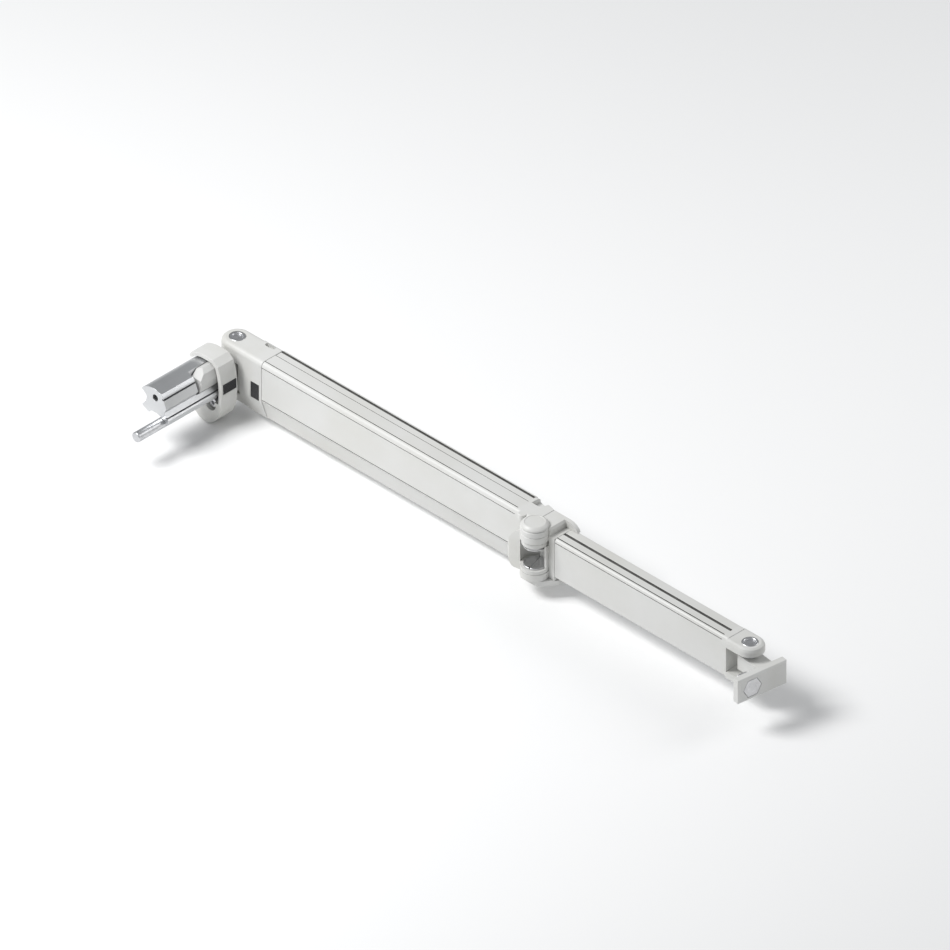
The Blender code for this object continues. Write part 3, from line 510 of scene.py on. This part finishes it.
def turned_ring(name, node, body, material, profile, at):
    """A turned ring, such as a bush, washer or pulley. The profile runs out, along and back to its start."""
    mesh = lathe(profile + profile[:1])
    shape = bmesh.new()
    shape.from_mesh(mesh)
    ends = [face for face in shape.faces if len(face.verts) > 4]
    bmesh.ops.delete(shape, geom=ends, context="FACES_ONLY")
    bmesh.ops.remove_doubles(shape, verts=shape.verts, dist=SAME_SPOT)
    bmesh.ops.recalc_face_normals(shape, faces=shape.faces)
    shape.to_mesh(mesh)
    shape.free()
    return ease_edges(show(name, mesh, body, material, (node,), at), 0.15, 2)


turned_ring("shoulder_bush_lower_shown", "shoulder_bush_lower", "bracket", nylon,
            [(5.9, 13.3), (12.4, 13.3), (12.4, 14.7), (7.1, 14.7), (7.1, 30.0), (5.9, 30.0)], SHOULDER)
turned_ring("shoulder_bush_upper_shown", "shoulder_bush_upper", "bracket", nylon,
            [(5.9, 34.0), (7.1, 34.0), (7.1, 49.3), (12.4, 49.3), (12.4, 50.7), (5.9, 50.7)], SHOULDER)

# Shoulder fork, its inlay and the shoulder pin.
# A coated casting with a ribbed nylon pad. The pin is turned steel with a dished head, kept by a spring clip.
eased_node("shoulder_fork", "upper_arm", casting_coat, 0.4, 3, 30)
fork_pad = ribbed_pad((34.6, -16.8, 22.4), (45.7, -15.9, 40.4), (1, -1), 2, 6)
show("fork_inlay_shown", fork_pad, "upper_arm", nylon, ("fork_inlay",), SHOULDER)
pin_steel = plated_steel("pin_steel", "Z")
clip_groove = [(5.6, -2.6), (4.6, -2.6), (4.6, -1.0), (5.6, -1.0)]
dished_head = [(8.3, 66.2), (8.3, 68.6), (7.9, 69.0), (6.0, 69.0), (5.5, 68.5), (5.2, 67.4), (2.0, 67.2)]
shoulder_pin_mesh = lathe([(5.0, -4.0), (5.6, -3.4)] + clip_groove + [(5.6, 66.2)] + dished_head, 96)
shoulder_pin = show("shoulder_pin_shown", shoulder_pin_mesh, "upper_arm", pin_steel,
                    ("shoulder_pin",), SHOULDER)
ease_edges(shoulder_pin, 0.12, 2)


def blackened_steel(name, colour=(0.16, 0.16, 0.165)):
    """Spring steel, oil-blackened: a dark skin, worn to metal in specks."""
    material, tree, shader = start_finish(name, colour, 0.36, 0.9)
    worn = tuple(2.1 * part for part in colour)
    tree.links.new(spread(tree, noise(tree, 300, 6), colour, worn, 0.55, 0.75), shader.inputs["Base Color"])
    drawn = noise(tree, 1200, 3)
    tree.links.new(spread(tree, drawn, 0.3, 0.46), shader.inputs["Roughness"])
    relief(tree, shader, drawn, 0.25, 0.00003)
    return material


spring_finish = blackened_steel("spring_finish")
eased_node("shoulder_pin_clip", "upper_arm", spring_finish, 0.15, 2)

# Upper arm tube.
# An aluminium extrusion in a smooth white powder coat, with a step and a groove along its top. Fine lines run its
# whole length: at the step's foot, at each side of the round front edge, and in pairs above each slant.
tube_coat = powder_coat("tube_coat", grain=1900, strength=0.16)
# Painted shade for the insides of the tubes' fine lines and grooves.
line_groove_shade = painted_groove_shade("line_groove_shade", (0.075, 0.074, 0.07))
upper_lines = [((3.0, 67.4), (4.0, 70.0)), ((-11.6, 68.0), (-10.8, 70.0)), ((-17.0, 63.1), (-15.1, 63.8)),
               ((-17.0, 24.4), (-15.1, 25.2)), ((-17.0, 22.4), (-14.6, 23.2)), ((15.1, 24.4), (17.0, 25.2)),
               ((14.6, 22.4), (17.0, 23.2))]
upper_groove = ((10.9, 67.5), (13.5, 68.8))
upper_mesh = lined_copy("upper_tube", upper_lines, "X", SHOULDER, (30, 420))
upper_tube = show("upper_tube_shown", upper_mesh, "upper_arm", tube_coat, ("upper_tube",))
# Painted shade: the faces inside the lines and the top groove take the dark material.
shade_grooves(upper_tube, upper_lines + [upper_groove], "X", SHOULDER, line_groove_shade)
ease_edges(upper_tube, 0.14, 2, 30)

# Upper arm screws.
# Zinc-plated button-head screws with a hexagon socket, through the tube's back into the castings.


def button_screw(node, body, shank, head, seat, top, at, origin):
    """A button-head screw along +Y, with a rounded head and a socket."""
    rise = top - seat
    profile = [(shank - 0.4, seat - 10.6), (shank, seat - 10.2), (shank, seat)]
    profile += [(head, seat), (head, seat + 0.3 * rise)]
    for part in (0.35, 0.6, 0.8, 0.93):
        profile.append((head * (1 - 0.42 * part ** 2), seat + rise * (0.3 + 0.7 * part)))
    profile += [(head * 0.52, top), (1.75, top, 6), (1.6, top - 0.15, 6), (1.6, seat + 0.7, 6)]
    metal = plated_steel(node + "_steel", "Y", at)
    shown = show(node + "_shown", lathe(profile, 48, "Y", at), body, metal, (node,), origin)
    return ease_edges(shown, 0.06, 2)


upper_screws = (("shoulder_screw_1", 66, 32), ("shoulder_screw_2", 66, 52), ("elbow_screw_1", 383, 32),
                ("elbow_screw_2", 383, 56), ("anchor_screw_1", 102, 35))
for node, along, height in upper_screws:
    button_screw(node, "upper_arm", 2.6, 4.6, 16.3, 18.3, (along, 0, height), SHOULDER)

# Spring anchor and carriage.
# Zinc-plated steel blocks: the anchor is screwed to the tube, and the carriage slides as the cable draws it.
block_steel = plated_steel("block_steel")
eased_node("spring_anchor", "upper_arm", block_steel, 0.4)
eased_node("spring_carriage", "spring_carriage", block_steel, 0.4)

# Main spring.
# A close coil of blackened spring steel wire. It stretches as the carriage moves.


def swept(points, radius, sides):
    """A round wire along points in millimetres."""
    shape = bmesh.new()
    rings = []
    for index, point in enumerate(points):
        before = Vector(points[max(index - 1, 0)])
        after = Vector(points[min(index + 1, len(points) - 1)])
        along = (after - before).normalized()
        side = along.cross(Vector((0, 0, 1)) if abs(along.z) < 0.9 else Vector((0, 1, 0))).normalized()
        rise = side.cross(along)
        ring = []
        for step in range(sides):
            angle = 2 * math.pi * step / sides
            offset = (side * math.cos(angle) + rise * math.sin(angle)) * radius
            ring.append(shape.verts.new((Vector(point) + offset) * MM))
        rings.append(ring)
    for near, far in zip(rings, rings[1:]):
        for step in range(sides):
            after = (step + 1) % sides
            shape.faces.new((near[step], near[after], far[after], far[step]))
    shape.faces.new(rings[0])
    shape.faces.new(list(reversed(rings[-1])))
    bmesh.ops.recalc_face_normals(shape, faces=shape.faces)
    mesh = bpy.data.meshes.new("wire")
    shape.to_mesh(mesh)
    shape.free()
    mesh.shade_smooth()
    return mesh


SPRING_START, SPRING_END = 114.0, 226.0
SPRING_TURNS, STEPS_A_TURN = 11, 32
COIL_RADIUS, COIL_WIRE, COIL_HEIGHT = 8.4, 1.6, 36.5
spring_points = []
for step in range(SPRING_TURNS * STEPS_A_TURN + 1):
    angle = 2 * math.pi * step / STEPS_A_TURN
    along = SPRING_START + (SPRING_END - SPRING_START) * step / (SPRING_TURNS * STEPS_A_TURN)
    spring_points.append((along, COIL_RADIUS * math.cos(angle), COIL_HEIGHT + COIL_RADIUS * math.sin(angle)))
main_spring = show("main_spring_shown", swept(spring_points, COIL_WIRE, 14), None, spring_finish,
                   ("main_spring",), SHOULDER)
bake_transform(main_spring)

# Arm cable.
# Six strands of bright steel wire laid round a core, from the carriage to the elbow, with a crimped ferrule.


def laid_cable(points, radius, pitch, strands=6):
    """Strands wound round a core along a path, joined in one mesh."""
    strand = radius / 3
    path = [Vector(point) for point in points]
    shape = bmesh.new()
    for number in range(-1, strands):
        line = []
        travelled = 0.0
        for index, point in enumerate(path):
            if index:
                travelled += (point - path[index - 1]).length
            along = (path[min(index + 1, len(path) - 1)] - path[max(index - 1, 0)]).normalized()
            side = along.cross(Vector((0, 0, 1))).normalized()
            rise = side.cross(along)
            angle = 2 * math.pi * (number / strands + travelled / pitch)
            offset = side * math.cos(angle) + rise * math.sin(angle)
            line.append(point + offset * (2 * strand if number >= 0 else 0.0))
        strand_mesh = swept(line, strand * 0.99, 6)
        shape.from_mesh(strand_mesh)
        bpy.data.meshes.remove(strand_mesh)
    mesh = bpy.data.meshes.new("cable")
    shape.to_mesh(mesh)
    shape.free()
    mesh.shade_smooth()
    return mesh


CABLE_START, CABLE_END, CABLE_STEPS = 240.4, 397.0, 240
CABLE_OFFSET, CABLE_Z = 10.5, 47.4
wire_steel = plated_steel("wire_steel")
cable_points = []
for step in range(CABLE_STEPS + 1):
    along = CABLE_START + (CABLE_END - CABLE_START) * step / CABLE_STEPS
    cable_points.append((along, -CABLE_OFFSET, CABLE_Z))
cable_mesh = laid_cable(cable_points, 1.0, 9.0)
show("arm_cable_shown", cable_mesh, "spring_carriage", wire_steel, ("arm_cable",), SHOULDER)
eased_node("cable_ferrule", "spring_carriage", block_steel, 0.2)

# Elbow housing.
# The upper arm's elbow casting: a cap on the tube, a horn that guides the forearm and two plates round the pin.
eased_node("elbow_housing", "upper_arm", casting_coat, 0.4, 3, 30)

# Elbow pulley and bushes.
# A turned aluminium pulley for the cable, and thin nylon bushes in the two plates.
ELBOW = (433.0, 93.0, -42.0)
turned_aluminium = plated_steel("turned_aluminium", "Z", colour=(0.80, 0.80, 0.80))
pulley_profile = [(5.4, 45.4), (11.6, 45.4), (11.6, 46.0), (9.6, 46.3), (9.4, 47.4), (9.6, 48.5), (11.6, 48.8),
                  (11.6, 49.2), (5.4, 49.2)]
turned_ring("cable_pulley_shown", "cable_pulley", "upper_arm", turned_aluminium,
            pulley_profile, ELBOW)
turned_ring("elbow_bush_lower_shown", "elbow_bush_lower", "upper_arm", nylon,
            [(5.3, 18.9), (6.1, 18.9), (6.1, 22.7), (5.3, 22.7)], ELBOW)
turned_ring("elbow_bush_upper_shown", "elbow_bush_upper", "upper_arm", nylon,
            [(5.3, 49.6), (6.1, 49.6), (6.1, 53.5), (5.3, 53.5)], ELBOW)

# Elbow fork, cap and base plate.
# The forearm's elbow casting, with a domed cap over the pin and a plate screwed under the lower lug.
eased_node("elbow_fork", "forearm", casting_coat, 0.4, 3, 30)
cap_profile = [(13.9, 69.3), (14.4, 69.8), (14.2, 70.7), (13.6, 71.6), (12.6, 72.6), (11.4, 73.4), (10.7, 73.7),
               (10.4, 73.7), (10.1, 73.2)]
cap = show("elbow_cap_shown", lathe(cap_profile, 96), "forearm", casting_coat, ("elbow_cap",),
           ELBOW)
ease_edges(cap, 0.12, 2, 20)
eased_node("elbow_base_plate", "forearm", casting_coat, 0.7, 3)

# Elbow pins and the base plate's screw.
# Turned and plated steel. The lower pin has a wide slotted head, set from above with a blade.
upper_pin_profile = [(4.5, 45.2), (5.0, 45.7), (5.0, 68.5), (4.5, 69.0)]
upper_pin_mesh = lathe(upper_pin_profile)
upper_pin = show("elbow_pin_upper_shown", upper_pin_mesh, "forearm", pin_steel, ("elbow_pin_upper",), ELBOW)
ease_edges(upper_pin, 0.1, 2)
disc_steel = plated_steel("disc_steel", "Z", ELBOW, (0.70, 0.70, 0.71))
eased_node("elbow_pin_lower", "forearm", disc_steel, 0.15, 2)
eased_node("base_plate_screw", "forearm", block_steel, 0.15, 2)

# Cable wrap.
# The cable's end lies round the pulley and into a crimped ferrule in the fork.
WRAP_ANGLE, WRAP_STEPS = 160, 96
wrap_points = [(12.0 - 0.5 * step, CABLE_OFFSET, CABLE_Z) for step in range(20)]
for step in range(WRAP_STEPS + 1):
    angle = math.radians(90 + WRAP_ANGLE * step / WRAP_STEPS)
    wrap_points.append((CABLE_OFFSET * math.cos(angle), CABLE_OFFSET * math.sin(angle), CABLE_Z))
wrap_mesh = laid_cable(wrap_points, 0.9, 8.0)
show("cable_wrap_shown", wrap_mesh, "forearm", wire_steel, ("cable_wrap",), ELBOW)
eased_node("wrap_ferrule", "forearm", block_steel, 0.3, 2)

# Forearm tube and its screws.
# A slimmer extrusion in the same smooth coat, with a button-head screw into the casting at each end.
fore_lines = [((8.3, 59.5), (9.4, 62.0)), ((3.0, 56.2), (5.8, 56.9)), ((18.2, 58.6), (18.9, 62.0))]
fore_groove = ((16.9, 59.1), (20.1, 60.2))
fore_mesh = lined_copy("forearm_tube", fore_lines, "X", ELBOW, (10, 270))
forearm_tube = show("forearm_tube_shown", fore_mesh, "forearm", tube_coat, ("forearm_tube",))
# Painted shade: the faces inside the lines and the groove take the dark material.
shade_grooves(forearm_tube, fore_lines + [fore_groove], "X", ELBOW, line_groove_shade)
ease_edges(forearm_tube, 0.14, 2, 30)
for node, along in (("forearm_screw_1", 34), ("forearm_screw_2", 240)):
    button_screw(node, "forearm", 2.5, 4.4, 31.3, 33.1, (along, 0, 36), ELBOW)

# Front fork and its pin.
# The forearm's front casting. The pin is turned steel with a dished head, kept by a spring clip below.
FRONT = (713.4, 110.8, -42.0)
eased_node("front_fork", "forearm", casting_coat, 0.4, 3, 20)
front_clip_groove = [(5.0, 12.0), (4.2, 12.0), (4.2, 13.4), (5.0, 13.4)]
front_head = [(8.3, 58.6), (8.3, 60.2), (7.9, 60.6), (6.5, 60.6), (6.0, 60.1), (5.7, 59.0), (2.0, 58.9)]
front_pin_mesh = lathe([(4.5, 10.6), (5.0, 11.1)] + front_clip_groove + [(5.0, 58.6)] + front_head, 96)
front_pin = show("front_pin_shown", front_pin_mesh, "forearm", pin_steel, ("front_pin",), FRONT)
ease_edges(front_pin, 0.12, 2)
eased_node("front_pin_clip", "forearm", spring_finish, 0.15, 2)

# Rail plate.
# A coated casting that slides in the front rail, with a tongue on the front pin.
eased_node("rail_plate", "front_connector", casting_coat, 0.3, 3, 24)

# Rail bolt, nut and washers.
# A hexagon bolt sunk in the plate, with its nut and washer behind, and two thick washers on the front pin.
# The plate stands a little off square on its pin, and the bolt with it.
PLATE_TURN = -7.4
bolt_at = (0, -25.0, 36.6)
bolt_steel = plated_steel("bolt_steel", "X", bolt_at, (0.72, 0.72, 0.73))
bolt_profile = [(4.5, 15.6), (5.0, 16.1), (5.0, 31.6), (10.97, 31.6, 6), (10.97, 36.2, 6), (10.6, 36.5, 6)]
bolt_mesh = lathe(bolt_profile, axis="X", centre=bolt_at)
bolt = show("rail_bolt_shown", bolt_mesh, "front_connector", bolt_steel, ("rail_bolt",), FRONT, PLATE_TURN)
ease_edges(bolt, 0.15, 2, 35)
for node in ("rail_nut", "rail_washer", "front_washer_lower", "front_washer_upper"):
    eased_node(node, "front_connector", block_steel, 0.2, 2)
turned_ring("front_bush_shown", "front_bush", "front_connector", nylon,
            [(5.3, 28.7), (7.0, 28.7), (7.0, 45.1), (5.3, 45.1)], FRONT)
